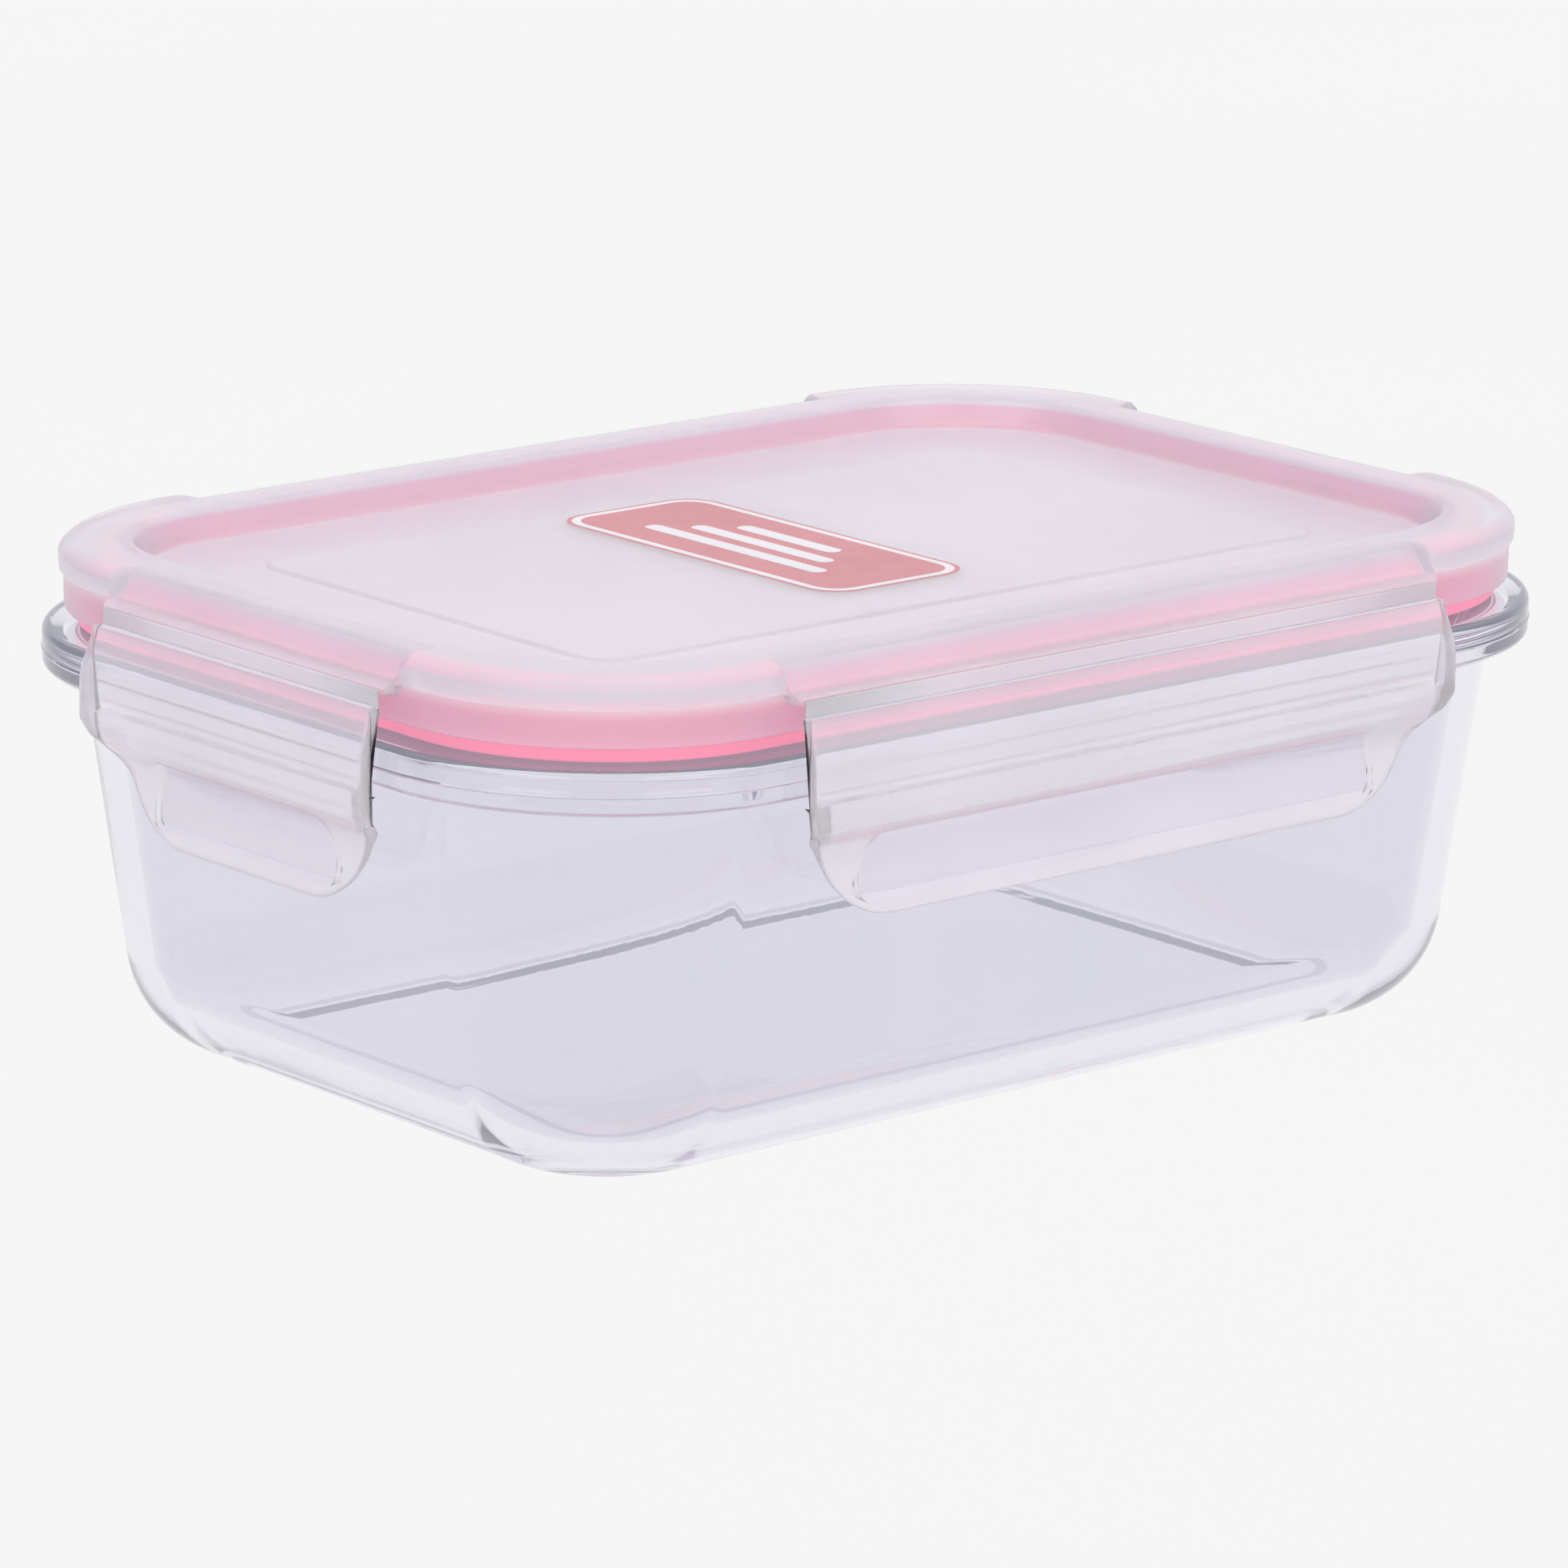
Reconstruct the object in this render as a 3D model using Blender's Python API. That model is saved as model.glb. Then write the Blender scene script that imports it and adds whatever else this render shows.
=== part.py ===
"""Snap lid food container: glass bowl, clip lid with four hinged flaps, silicone gasket.

Metres, +Z up. The origin is the centre of the bowl's underside, +X runs along the long side.
Every rim section below is a list of (inset, height) points in millimetres: inset is measured
inwards from the outer edge of the glass rim, so a negative inset stands outside that edge.
"""
import math

import bmesh
import bpy
from mathutils import Matrix, Vector

MM = 0.001

# Driving dimensions, in millimetres.
RIM_HALF_LENGTH = 92.5          # half the length of the glass rim, along X
RIM_HALF_WIDTH = 66.3           # half its width, along Y
RIM_CORNER_RADIUS = 34.7
RIM_TOP = 58.5                  # height of the glass rim
BEAD_RADIUS = 3.1               # the rim's outer edge is a half round
WALL_TOP_INSET = 5.4            # glass wall under the bead
WALL_DRAFT = math.radians(8.0)  # the wall leans in towards the base
HEEL_RADIUS = 15.4              # outer curve between wall and base
GLASS = 3.6                     # wall thickness
FLOOR = 4.0                     # glass floor thickness
FOOT_WIDTH = 3.8                # flat ring that the bowl stands on
BASE_RECESS = 0.8               # hollow of the underside inside the foot

LID_TOP = 69.7
LID_FLOOR = 65.4                # top of the sunken middle
PANEL_RISE = 0.5                # raised panel in the sunken middle
PANEL_INSET = 30.2
LID_SKIN = 1.5
SKIRT_INSET = 3.0
SKIRT = 1.4                     # thickness of the lid's outer wall
SKIRT_BOTTOM = 60.7
CHANNEL_INNER = 10.7            # inner wall of the gasket's channel
RECESS_INSET = 12.4             # inner edge of the raised border
BAND_INSET = 2.4                # thick edge round each corner

GAP = 0.3                       # running gap between neighbouring pieces
GASKET_TOP = 66.4

FRONT_FLAP_HALF = 55.3          # half length of the two long flaps
SIDE_FLAP_HALF = 29.8           # half length of the two short flaps
FLAP_TAPER = 0.7                # a flap is this much shorter at its hinge, each end
FLAP_CORNER = 12.5              # lower corners of a flap, seen square on
TAB_SHOULDER = 4.3              # the pull tab is this much narrower than the flap, each end
TAB_OUTER = 1.4                 # outer face of the pull tab
TAB_SKIN = 1.4
FLAP_TOP = 63.2
FLAP_BOTTOM = 35.6
FLAP_OUTER = -3.2               # face that passes outside the glass bead
FLAP_SKIN = 2.0
RIB_TIP = 1.9                   # snap rib under the bead
RIB_TOP = 52.0

FILM = 0.5                      # thickness of a hinge film
FILM_INSET = 0.1
FILM_TOP = 65.1
HINGE_INSET = FILM_INSET + FILM / 2
HINGE_HEIGHT = (FILM_TOP + FLAP_TOP + GAP) / 2
TONGUE_TOP = 65.4               # ledge of the lid that carries the film
TONGUE_BOTTOM = 64.6

CORNER_STEPS = 10
ARC_STEPS = 6


def clear_scene():
    for thing in list(bpy.data.objects):
        bpy.data.objects.remove(thing, do_unlink=True)


def material(name, colour, roughness, alpha=1.0, transmission=0.0, ior=1.5):
    finish = bpy.data.materials.new(name)
    finish.use_nodes = True
    shader = finish.node_tree.nodes["Principled BSDF"]
    shader.inputs["Base Color"].default_value = (*colour, 1.0)
    shader.inputs["Roughness"].default_value = roughness
    shader.inputs["Metallic"].default_value = 0.0
    shader.inputs["Transmission Weight"].default_value = transmission
    shader.inputs["IOR"].default_value = ior
    shader.inputs["Alpha"].default_value = alpha
    finish.diffuse_color = (*colour, alpha)
    return finish


def arc(centre_inset, centre_height, radius, start, end, steps=ARC_STEPS):
    """Points on a round stretch of a section. Angle 0 points outwards, 90 points up."""
    points = []
    for step in range(steps + 1):
        angle = math.radians(start + (end - start) * step / steps)
        inset = centre_inset - radius * math.cos(angle)
        points.append((inset, centre_height + radius * math.sin(angle)))
    return points


def at_front(inset, height):
    """A section point in the plane X = 0, on the +Y side of the rim."""
    return Vector((0.0, RIM_HALF_WIDTH - inset, height)) * MM


def section_edges(bm, section, closed):
    verts = [bm.verts.new(at_front(*point)) for point in section]
    pairs = list(zip(verts, verts[1:]))
    if closed:
        pairs.append((verts[-1], verts[0]))
    return verts, [bm.edges.new(pair) for pair in pairs]


def extruded(bm, edges, offset):
    """Extrude edges by an offset and return the edges at the far end."""
    made = bmesh.ops.extrude_edge_only(bm, edges=edges)["geom"]
    verts = [item for item in made if isinstance(item, bmesh.types.BMVert)]
    bmesh.ops.translate(bm, vec=offset, verts=verts)
    return [item for item in made if isinstance(item, bmesh.types.BMEdge)]


def turned(bm, edges, corner):
    """Turn edges a quarter round the rim's corner and return those at the far end."""
    spun = bmesh.ops.spin(bm, geom=edges, cent=corner, axis=(0, 0, 1), angle=-math.pi / 2,
                          steps=CORNER_STEPS, use_duplicate=False)["geom_last"]
    return [item for item in spun if isinstance(item, bmesh.types.BMEdge)]


def corner_centre():
    return Vector((RIM_HALF_LENGTH - RIM_CORNER_RADIUS, RIM_HALF_WIDTH - RIM_CORNER_RADIUS, 0)) * MM


def sweep_quarter(bm, section, closed, from_x, to_y):
    """Sweep a section from X = from_x, round the corner, to Y = to_y. Returns start and end."""
    corner = corner_centre()
    verts, start = section_edges(bm, section, closed)
    bmesh.ops.translate(bm, vec=(from_x * MM, 0, 0), verts=verts)
    reached = extruded(bm, start, Vector((corner.x - from_x * MM, 0, 0)))
    reached = turned(bm, reached, corner)
    return start, extruded(bm, reached, Vector((0, to_y * MM - corner.y, 0)))


def mirrored(bm, axis):
    bmesh.ops.mirror(bm, geom=bm.verts[:] + bm.edges[:] + bm.faces[:], axis=axis, merge_dist=1e-6)
    bmesh.ops.remove_doubles(bm, verts=bm.verts[:], dist=1e-6)


def finished(bm, name, finish, smooth=30.0):
    bmesh.ops.remove_doubles(bm, verts=bm.verts[:], dist=1e-6)
    bmesh.ops.recalc_face_normals(bm, faces=bm.faces[:])
    mesh = bpy.data.meshes.new(name)
    bm.to_mesh(mesh)
    bm.free()
    mesh.materials.append(finish)
    mesh.shade_smooth()
    mesh.set_sharp_from_angle(angle=math.radians(smooth))
    piece = bpy.data.objects.new(name, mesh)
    bpy.context.scene.collection.objects.link(piece)
    return piece


def ring(name, section, finish):
    """A closed section swept all the way round the rim."""
    bm = bmesh.new()
    sweep_quarter(bm, section, True, 0.0, 0.0)
    mirrored(bm, "X")
    mirrored(bm, "Y")
    return finished(bm, name, finish)


def dish(name, section, finish):
    """An open section swept round the rim, with its two ends closed by flat faces."""
    bm = bmesh.new()
    sweep_quarter(bm, section, False, 0.0, 0.0)
    mirrored(bm, "X")
    mirrored(bm, "Y")
    rims = [edge for edge in bm.edges if edge.is_boundary]
    bmesh.ops.edgeloop_fill(bm, edges=rims)
    return finished(bm, name, finish)


def wall_inset(height):
    """Inset of the outer glass wall at a height under the bead."""
    return WALL_TOP_INSET + (RIM_TOP - 2 * BEAD_RADIUS - height) * math.tan(WALL_DRAFT)


def heel(skin, rise, steps):
    """The curve between base and wall, moved in by a skin thickness and up by a rise."""
    radius = HEEL_RADIUS - skin
    across = math.cos(WALL_DRAFT)
    centre_height = rise + radius
    centre_inset = wall_inset(centre_height) + (skin + radius) / across
    return arc(centre_inset, centre_height, radius, -90, -math.degrees(WALL_DRAFT), steps)


def bowl_section():
    outer = heel(0.0, 0.0, ARC_STEPS)
    foot = outer[0][0]
    under = [(foot + FOOT_WIDTH + BASE_RECESS, BASE_RECESS), (foot + FOOT_WIDTH, 0.0)]
    bead_centre = RIM_TOP - BEAD_RADIUS
    bead = arc(BEAD_RADIUS, bead_centre, BEAD_RADIUS, -90, 90, 2 * ARC_STEPS)
    neck = RIM_TOP - 2 * BEAD_RADIUS
    fillet = 1.2
    under_bead = [(wall_inset(neck - fillet), neck - fillet), (WALL_TOP_INSET - fillet * 0.8, neck)]
    lip = 1.2
    inside = wall_inset(RIM_TOP) + GLASS / math.cos(WALL_DRAFT)
    mouth = arc(inside - lip, RIM_TOP - lip, lip, 90, 180, 3)
    inner = heel(GLASS, FLOOR, ARC_STEPS)
    return under + outer + under_bead + bead + mouth + inner[::-1]


def lid_section():
    """From under the middle of the lid, out round the gasket channel and the skirt, to the top."""
    under = LID_FLOOR - LID_SKIN
    ceiling = LID_TOP - LID_SKIN
    slope = LID_TOP - 0.4
    skirt_inner = SKIRT_INSET + SKIRT
    shoulder = TONGUE_TOP + 0.2
    return [
        (PANEL_INSET + 0.3, under + PANEL_RISE),
        (PANEL_INSET - 0.4, under),
        (CHANNEL_INNER + 1.5, under),
        (CHANNEL_INNER + 1.3, SKIRT_BOTTOM + 0.3),
        (CHANNEL_INNER + 0.1, SKIRT_BOTTOM + 0.3),
        (CHANNEL_INNER, ceiling),
        (skirt_inner + 2.8, ceiling),
        (skirt_inner, shoulder - 0.2),
        (skirt_inner + 0.1, SKIRT_BOTTOM),
        (SKIRT_INSET + 0.2, SKIRT_BOTTOM),
        (SKIRT_INSET, shoulder),
        (SKIRT_INSET + 3.5, slope),
        (SKIRT_INSET + 5.0, LID_TOP),
        (RECESS_INSET - 0.8, LID_TOP),
        (RECESS_INSET, slope),
        (RECESS_INSET + 1.8, LID_FLOOR + 0.4),
        (RECESS_INSET + 2.4, LID_FLOOR),
        (PANEL_INSET - 0.7, LID_FLOOR),
        (PANEL_INSET, LID_FLOOR + PANEL_RISE),
    ]


def band_section():
    """The thick edge round a corner. Its last three points lie inside the lid's own wall."""
    return [
        (BAND_INSET, 66.1),
        (BAND_INSET, 68.1),
        (BAND_INSET + 0.9, 69.0),
        (BAND_INSET + 5.2, 69.45),
        (BAND_INSET + 5.6, 68.9),
        (BAND_INSET + 1.6, 66.3),
        (BAND_INSET + 1.3, 65.8),
    ]


def gasket_section():
    outer = SKIRT_INSET + SKIRT + GAP + 0.1
    inner = CHANNEL_INNER - GAP
    bottom = RIM_TOP + GAP
    return [
        (outer, bottom),
        (outer, GASKET_TOP - 1.5),
        (outer + 1.4, GASKET_TOP),
        (inner - 0.6, GASKET_TOP),
        (inner, GASKET_TOP - 0.6),
        (inner, bottom + 0.6),
        (inner - 0.6, bottom),
    ]


def flap_section():
    """From the ledge under the hinge film, down the outer face and back up inside.

    The flap bulges over the bead, steps in under it as a thick hook, and ends in a thin pull tab.
    """
    outer = FLAP_OUTER
    inner = FLAP_OUTER + FLAP_SKIN
    tab = TAB_OUTER
    return [
        (0.6, FLAP_TOP),
        (-1.3, FLAP_TOP),
        (-1.7, FLAP_TOP - 1.6),
        (outer + 0.3, 58.0),
        (outer, 56.5),
        (outer, 51.0),
        (outer + 0.8, 48.7),
        (tab - 1.0, 46.3),
        (tab - 0.2, 44.6),
        (tab, 42.5),
        (tab - 0.7, FLAP_BOTTOM + 0.5),
        (tab - 0.3, FLAP_BOTTOM),
        (tab + 0.5, FLAP_BOTTOM),
        (tab + 0.9, FLAP_BOTTOM + 0.5),
        (tab + TAB_SKIN, 43.0),
        (tab + TAB_SKIN, 47.0),
        (RIB_TIP + 0.2, 49.5),
        (RIB_TIP, RIB_TOP - 0.5),
        (RIB_TIP - 0.5, RIB_TOP),
        (inner + 0.9, RIB_TOP - 0.1),
        (inner, RIB_TOP + 0.8),
        (inner, 57.3),
        (0.1, 61.0),
        (0.6, 62.0),
    ]


def film_section():
    bottom = FLAP_TOP + GAP
    return [
        (FILM_INSET, bottom),
        (FILM_INSET, FILM_TOP),
        (FILM_INSET + FILM, FILM_TOP),
        (FILM_INSET + FILM, bottom),
    ]


def tongue_section():
    return [
        (HINGE_INSET + FILM / 2 + GAP, TONGUE_BOTTOM),
        (HINGE_INSET + FILM / 2 + GAP, TONGUE_TOP),
        (SKIRT_INSET + 0.7, TONGUE_TOP),
        (SKIRT_INSET + 0.7, TONGUE_BOTTOM),
    ]


# The four sides, each as a turn about +Z of the +Y side: name, turn, edge distance, flap half.
SIDES = [
    ("back", 0.0, RIM_HALF_WIDTH, FRONT_FLAP_HALF),
    ("left", 90.0, RIM_HALF_LENGTH, SIDE_FLAP_HALF),
    ("front", 180.0, RIM_HALF_WIDTH, FRONT_FLAP_HALF),
    ("right", 270.0, RIM_HALF_LENGTH, SIDE_FLAP_HALF),
]


def bar(name, section, half_length, finish):
    """A closed section extruded along X, with Y measured outwards from the rim's edge."""
    bm = bmesh.new()
    verts = [bm.verts.new(Vector((-half_length, -inset, height)) * MM) for inset, height in section]
    face = bm.faces.new(verts)
    made = bmesh.ops.extrude_face_region(bm, geom=[face])["geom"]
    moved = [item for item in made if isinstance(item, bmesh.types.BMVert)]
    bmesh.ops.translate(bm, vec=(2 * half_length * MM, 0, 0), verts=moved)
    return finished(bm, name, finish)


def flap_outline(half_length):
    """A flap seen square on: straight ends, a shoulder in to the tab, then round lower corners."""
    end = [(half_length - FLAP_TAPER, FLAP_TOP + 3), (half_length, 57.0), (half_length, 50.2),
           (half_length - 0.8, 48.5), (half_length - 2.9, 47.0)]
    centre = half_length - TAB_SHOULDER - FLAP_CORNER
    for step in range(ARC_STEPS + 1):
        angle = math.radians(12.0 + 78.0 * step / ARC_STEPS)
        end.append((centre + FLAP_CORNER * math.cos(angle),
                    FLAP_BOTTOM - 0.2 + FLAP_CORNER * (1 - math.sin(angle))))
    return end + [(-x, z) for x, z in reversed(end)]


def outline_cutter(name, half_length):
    bm = bmesh.new()
    depth = 10.0
    verts = [bm.verts.new(Vector((x, -depth, z)) * MM) for x, z in flap_outline(half_length)]
    face = bm.faces.new(verts)
    made = bmesh.ops.extrude_face_region(bm, geom=[face])["geom"]
    moved = [item for item in made if isinstance(item, bmesh.types.BMVert)]
    bmesh.ops.translate(bm, vec=(0, 2 * depth * MM, 0), verts=moved)
    return helper(finished(bm, name, None))


def helper(piece):
    """Mark a piece as a tool of another piece's Boolean, and not a piece of its own."""
    piece.hide_render = True
    piece.display_type = "WIRE"
    return piece


def boolean(piece, tool, operation):
    modifier = piece.modifiers.new(tool.name, "BOOLEAN")
    modifier.operation = operation
    modifier.object = tool


def corner_band(name, turn_x, turn_y, finish):
    """The thick edge round one corner, from the end of a long flap to the end of a short one."""
    bm = bmesh.new()
    start, end = sweep_quarter(bm, band_section(), True, FRONT_FLAP_HALF - 0.1, SIDE_FLAP_HALF - 0.1)
    bmesh.ops.edgeloop_fill(bm, edges=start)
    bmesh.ops.edgeloop_fill(bm, edges=end)
    bmesh.ops.scale(bm, vec=(turn_x, turn_y, 1), verts=bm.verts[:])
    return helper(finished(bm, name, finish))


def on_side(piece, turn, edge):
    """Place a piece made at Y = 0 against the rim's edge on one side."""
    spin = Matrix.Rotation(math.radians(turn), 4, "Z")
    piece.matrix_world = spin @ Matrix.Translation((0, edge * MM, 0))


def on_hinge(piece, turn, edge):
    """Place a moving piece with its origin on its hinge line."""
    hinge = Vector((0, -HINGE_INSET, HINGE_HEIGHT)) * MM
    piece.data.transform(Matrix.Translation(-hinge))
    spin = Matrix.Rotation(math.radians(turn), 4, "Z")
    piece.matrix_world = spin @ Matrix.Translation(hinge + Vector((0, edge * MM, 0)))


def make_bowl():
    glass = material("clear_glass", (0.86, 0.88, 0.92), 0.02, 0.35, 0.9, 1.5)
    return dish("glass_bowl", bowl_section(), glass)


def make_gasket():
    silicone = material("pink_silicone", (0.90, 0.30, 0.42), 0.45)
    return ring("gasket", gasket_section(), silicone)


def make_lid(plastic):
    lid = dish("lid_panel", lid_section(), plastic)
    for turn_x in (1, -1):
        for turn_y in (1, -1):
            name = f"band_{'r' if turn_x > 0 else 'l'}{'b' if turn_y > 0 else 'f'}"
            boolean(lid, corner_band(name, turn_x, turn_y, plastic), "UNION")
    for side, turn, edge, half_length in SIDES:
        tongue = helper(bar(f"tongue_{side}", tongue_section(), half_length - FLAP_TAPER, plastic))
        on_side(tongue, turn, edge)
        boolean(lid, tongue, "UNION")
    return lid


def make_flaps(plastic):
    for side, turn, edge, half_length in SIDES:
        flap = bar(f"flap_{side}", flap_section(), half_length + 1.0, plastic)
        outline = outline_cutter(f"outline_{side}", half_length)
        on_hinge(flap, turn, edge)
        on_side(outline, turn, edge)
        boolean(flap, outline, "INTERSECT")


def make_films(plastic):
    for side, turn, edge, half_length in SIDES:
        film = bar(f"hinge_film_{side}", film_section(), half_length - FLAP_TAPER - GAP, plastic)
        on_hinge(film, turn, edge)


def main():
    clear_scene()
    plastic = material("milky_polypropylene", (0.86, 0.83, 0.87), 0.32, 0.75, 0.4, 1.49)
    make_bowl()
    make_gasket()
    make_lid(plastic)
    make_flaps(plastic)
    make_films(plastic)


if __name__ == "__main__":
    main()
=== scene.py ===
"""Snap lid food container: the visible pieces, their finishes, and a plain pale studio.

Metres, +Z up, +X along the long side. A section of a rim piece is a list of points
(inset, height) or (inset, height, rounding) in millimetres, where inset is measured inwards
from the outer edge of the glass rim, so that a negative inset stands outside it.
"""
import math

import bmesh
import bpy
from bpy.props import FloatProperty, FloatVectorProperty, PointerProperty
from mathutils import Matrix, Vector


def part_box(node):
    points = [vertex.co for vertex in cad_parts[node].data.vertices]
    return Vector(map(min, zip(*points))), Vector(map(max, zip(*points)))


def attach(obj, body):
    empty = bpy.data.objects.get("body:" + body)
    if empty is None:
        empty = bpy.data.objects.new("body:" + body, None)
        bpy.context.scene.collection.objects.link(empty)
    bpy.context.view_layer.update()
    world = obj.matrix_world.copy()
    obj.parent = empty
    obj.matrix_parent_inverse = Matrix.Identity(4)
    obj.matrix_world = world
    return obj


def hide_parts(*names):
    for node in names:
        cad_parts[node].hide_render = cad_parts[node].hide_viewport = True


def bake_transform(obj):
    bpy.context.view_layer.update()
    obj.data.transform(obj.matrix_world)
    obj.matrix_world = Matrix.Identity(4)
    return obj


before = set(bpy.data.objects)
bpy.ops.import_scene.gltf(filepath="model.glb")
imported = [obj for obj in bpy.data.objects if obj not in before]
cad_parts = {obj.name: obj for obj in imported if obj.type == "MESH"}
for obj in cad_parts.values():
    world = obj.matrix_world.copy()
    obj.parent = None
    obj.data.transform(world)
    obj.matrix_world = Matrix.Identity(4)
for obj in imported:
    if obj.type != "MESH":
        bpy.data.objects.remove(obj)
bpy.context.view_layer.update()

bl_info = {
    "name": "Snap lid food container",
    "version": (1, 0, 0),
    "blender": (4, 5, 0),
    "location": "View3D > Sidebar > Container",
    "description": "Builds a glass food container with a four flap clip lid",
    "category": "Object",
}

MM = 0.001

BOWL_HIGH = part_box("glass_bowl")[1]
LID_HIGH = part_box("lid_panel")[1]
FRONT_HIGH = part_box("flap_front")[1]
SIDE_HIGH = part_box("flap_left")[1]

# The four sides: name, turn about +Z from the +Y side, and whether it is a long side.
SIDES = (("back", 0.0, True), ("left", 90.0, False), ("front", 180.0, True),
         ("right", 270.0, False))

CORNER_STEPS = 22      # stations round each corner of the rim
FILLET_STEPS = 4       # steps in each rounding of a section

# Heights and insets that several sections share, in millimetres.
BEAD_DEPTH = 6.2       # from the top of the rim to the underside of its bead
BEAD_STANDS = 5.4      # how far the bead stands out from the wall below it
HEEL_RADIUS = 15.4
HEEL_STEPS = 16
FLAT_FLOOR = 33.5      # inset at which the sweep ends on the flat of the floor
SKIRT_FOOT = 60.7
PANEL_UNDER = 64.4     # the sunken middle of the lid, under and over
PANEL_OVER = 65.9
CROWN = 69.7
CHANNEL_ROOF = 68.2
SEAL = 58.55           # the underside of the gasket, just over the glass
LEDGE_CLEARANCE = 0.4  # how far the ledge behind a flap stops short of the flap's end


def size_property(name, default, description):
    return FloatProperty(name=name, default=default, description=description, unit="LENGTH",
                         subtype="DISTANCE", min=0.0, precision=5)


def colour_property(name, default, description):
    return FloatVectorProperty(name=name, default=default, description=description,
                               subtype="COLOR", size=3, min=0.0, max=1.0)


def share_property(name, default, description):
    return FloatProperty(name=name, default=default, description=description,
                         subtype="FACTOR", min=0.0, max=1.0)


class ContainerBowl(bpy.types.PropertyGroup):
    half_length: size_property("Half length", BOWL_HIGH.x, "Half the length of the glass rim")
    half_width: size_property("Half width", BOWL_HIGH.y, "Half the width of the glass rim")
    corner_radius: size_property("Corner radius", 34.7 * MM, "Outer radius of the rim's corners")
    rim_top: size_property("Rim height", BOWL_HIGH.z, "Height of the glass rim")
    wall: size_property("Wall", 3.6 * MM, "Thickness of the glass wall")
    floor: size_property("Floor", 4.0 * MM, "Thickness of the glass floor")
    draft: FloatProperty(name="Draft", default=math.radians(8.0), subtype="ANGLE",
                         unit="ROTATION", description="How far the wall leans in")
    colour: colour_property("Glass colour", (0.79, 0.785, 0.82), "Tint of the glass's skin")
    depth_colour: colour_property("Glass depth", (0.50, 0.50, 0.60), "Tint through its depth")
    # Strength of a painted glow on the glass, standing in for light trapped inside it.
    painted_glass_glow: share_property("Trapped light", 0.052, "Light that stays inside the thick glass")
    ripple: size_property("Ripple", 0.05 * MM, "Depth of the pressed glass ripple")


class ContainerLid(bpy.types.PropertyGroup):
    top: size_property("Lid height", LID_HIGH.z, "Height of the lid's raised border")
    colour: colour_property("Plastic colour", (0.965, 0.945, 0.97), "Milky polypropylene")
    clarity: share_property("Clarity", 0.66, "Share of light that the plastic lets through")
    haze: share_property("Haze", 0.30, "Roughness of the lid's plastic")
    label_colour: colour_property("Label colour", (0.62, 0.22, 0.24), "Printed label")
    label_length: size_property("Label length", 58.0 * MM, "Length of the label, along Y")
    label_width: size_property("Label width", 25.0 * MM, "Width of the label, along X")


class ContainerFlaps(bpy.types.PropertyGroup):
    long_half: size_property("Long flap", FRONT_HIGH.x, "Half the length of a long flap")
    short_half: size_property("Short flap", SIDE_HIGH.y, "Half the length of a short flap")
    window_depth: size_property("Window depth", 0.35 * MM, "Depth of the tab's sunken window")
    film: size_property("Hinge film", 0.32 * MM, "Thickness of the hinge film at its fold")
    colour: colour_property("Flap colour", (0.99, 0.965, 0.985), "Clearer polypropylene")


class ContainerGasket(bpy.types.PropertyGroup):
    colour: colour_property("Silicone colour", (0.86, 0.20, 0.33), "Pink silicone")
    rib: size_property("Sealing rib", 0.25 * MM, "Height of the sealing ribs")
    foot: size_property("Foot", BOWL_HIGH.z, "Height of the glass that the gasket presses on")
    # Strength of a painted glow on the gasket, strongest at its foot, that lifts the shade under
    # the lid's skirt.
    painted_foot_glow: share_property("Lit foot", 1.0, "Light that the glass rim leads into the gasket's foot")


class ContainerStudio(bpy.types.PropertyGroup):
    floor_colour: colour_property("Floor colour", (0.80, 0.80, 0.80), "Pale studio floor")
    azimuth: FloatProperty(name="Azimuth", default=math.radians(-40.533), subtype="ANGLE",
                           unit="ROTATION", description="Camera's turn about the object")
    elevation: FloatProperty(name="Elevation", default=math.radians(14.094), subtype="ANGLE",
                             unit="ROTATION", description="Camera's height above level")
    roll: FloatProperty(name="Roll", default=math.radians(0.628), subtype="ANGLE",
                        unit="ROTATION", description="Camera's roll")
    distance: size_property("Distance", 1085.4 * MM, "Camera to target")
    target_height: size_property("Target height", 35.0 * MM, "Height the camera looks at")
    lens: FloatProperty(name="Lens", default=185.9, unit="CAMERA", description="Focal length")
    box_strength: FloatProperty(name="Softbox strength", default=11.0, unit="POWER",
                                description="Power of each of the two softboxes")
    sky: FloatProperty(name="Sky", default=1.16, min=0.0, description="Strength of the dome")


# ---------------------------------------------------------------- sections and sweeps

def rounded(points, closed=False, steps=FILLET_STEPS):
    """Turn section points into (inset, height) pairs, with each rounding drawn as a curve."""
    count = len(points)
    result = []
    for index, point in enumerate(points):
        here = Vector(point[:2])
        rounding = point[2] if len(point) > 2 else 0.0
        at_end = not closed and index in (0, count - 1)
        if not rounding or at_end:
            result.append(tuple(here))
            continue
        before = Vector(points[index - 1][:2]) - here
        after = Vector(points[(index + 1) % count][:2]) - here
        opening = before.angle(after, math.pi)
        reach = rounding / max(math.tan(opening / 2), 0.05)
        reach = min(reach, 0.48 * before.length, 0.48 * after.length)
        first = here + before.normalized() * reach
        last = here + after.normalized() * reach
        for step in range(steps + 1):
            t = step / steps
            place = first * (1 - t) ** 2 + here * (2 * t * (1 - t)) + last * t ** 2
            result.append(tuple(place))
    return result


def links(chain, closed):
    pairs = list(zip(chain, chain[1:]))
    return pairs + [(chain[-1], chain[0])] if closed else pairs


def begin_chain(bm, places, closed):
    chain = [bm.verts.new(place) for place in places]
    for pair in links(chain, closed):
        bm.edges.new(pair)
    return chain


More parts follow.
